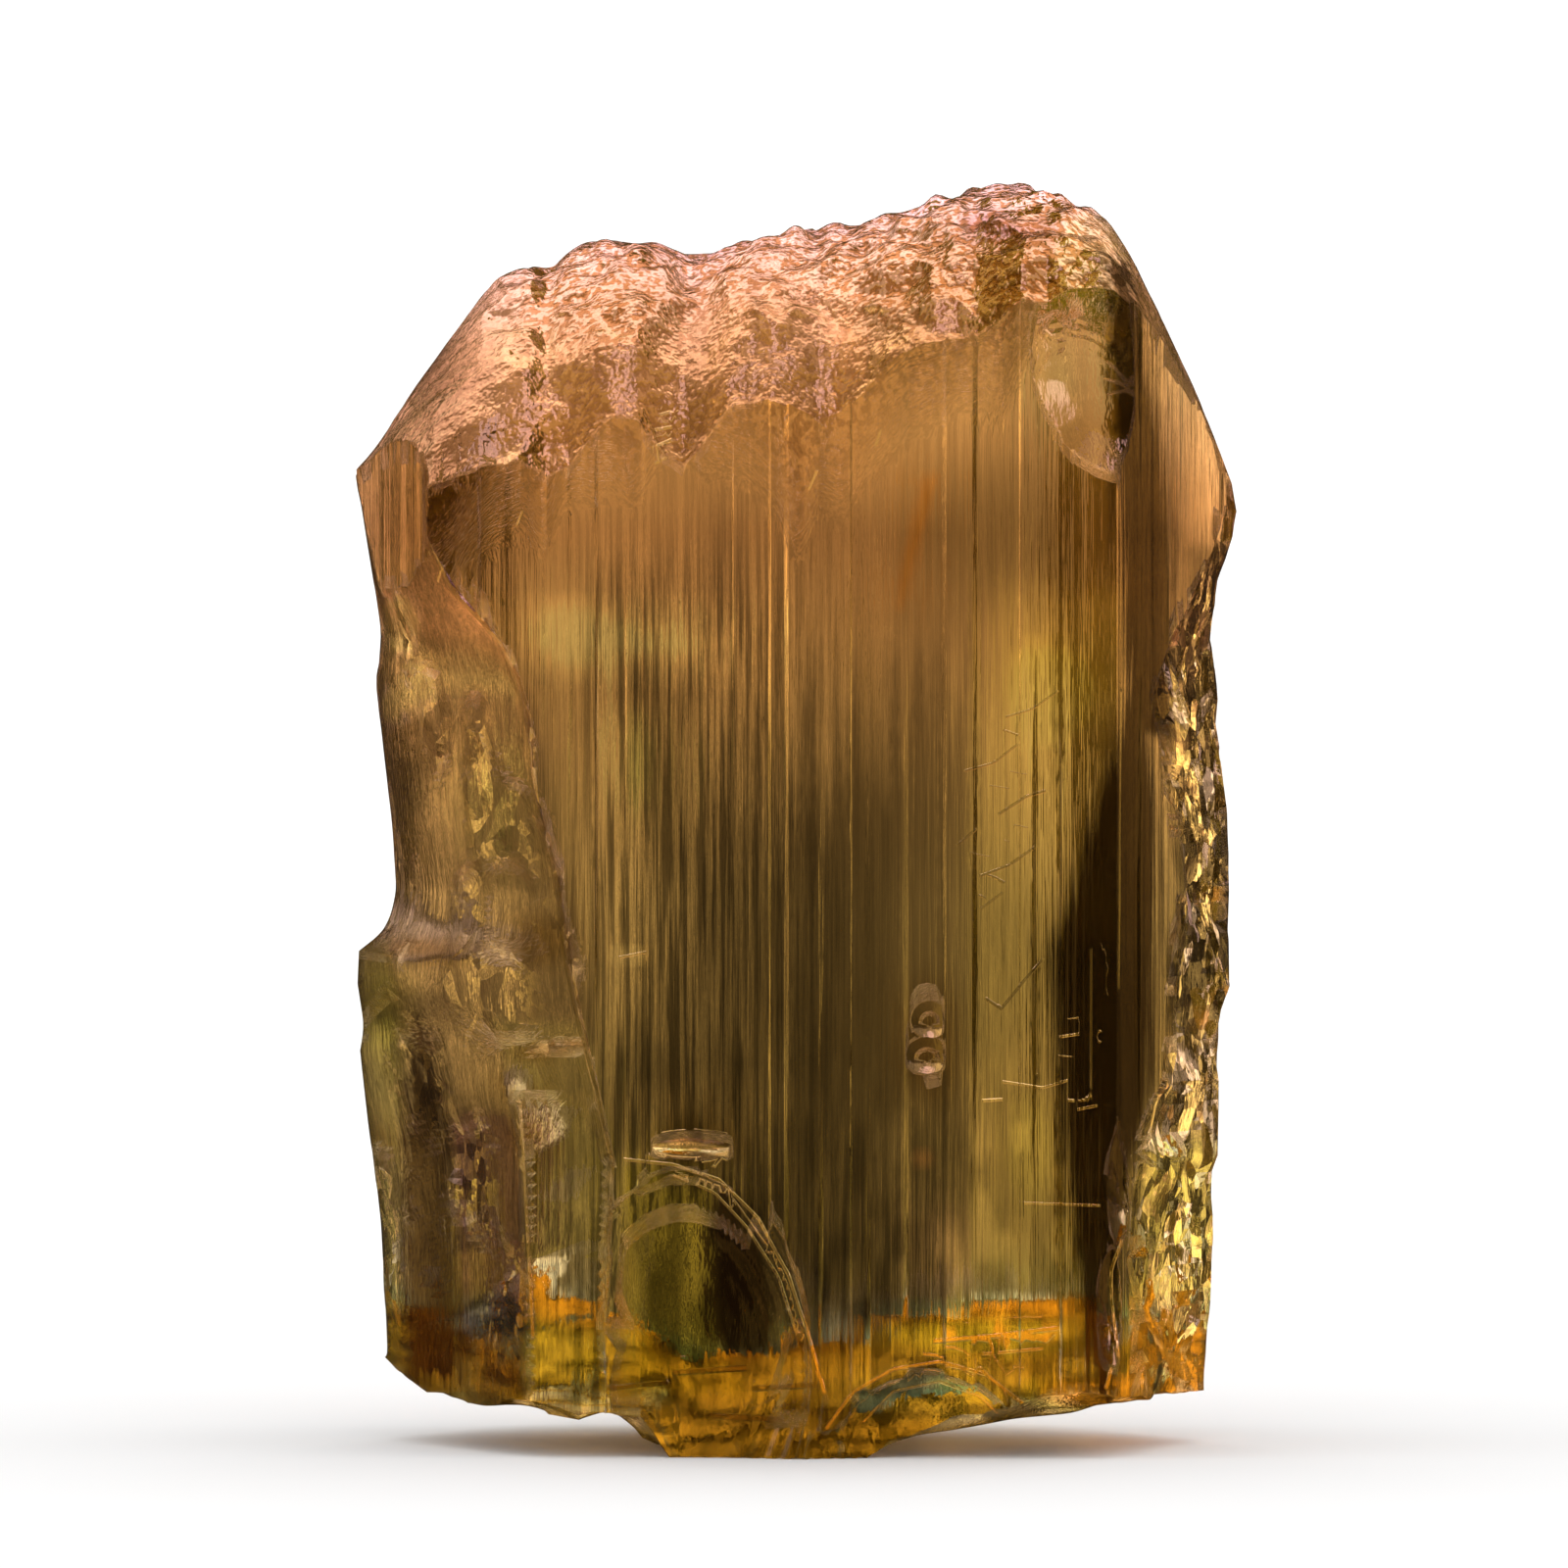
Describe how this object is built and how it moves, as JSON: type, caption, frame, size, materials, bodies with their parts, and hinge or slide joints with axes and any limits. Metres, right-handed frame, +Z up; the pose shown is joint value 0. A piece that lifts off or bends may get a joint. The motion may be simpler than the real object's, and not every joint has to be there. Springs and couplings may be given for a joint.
{
  "type": "heliodor crystal",
  "caption": "Rough golden beryl crystal: a striated hexagonal prism with a pitted, etched head, shell-like chips and a broken foot with a flat patch to stand on.",
  "frame": {"origin": "centre of the bounding box at the plane the crystal rests on", "axes": "+Z up along the crystal's length, +X to the viewer's right, -Y the broad striated face that the picture shows"},
  "size_m": [0.035, 0.0218, 0.05],
  "materials": {
    "heliodor": "clear honey-brown beryl, glossy on its faces and breaks, etched dull at its head"
  },
  "bodies": {
    "root": {"heliodor_crystal": "heliodor"}
  },
  "joints": []
}
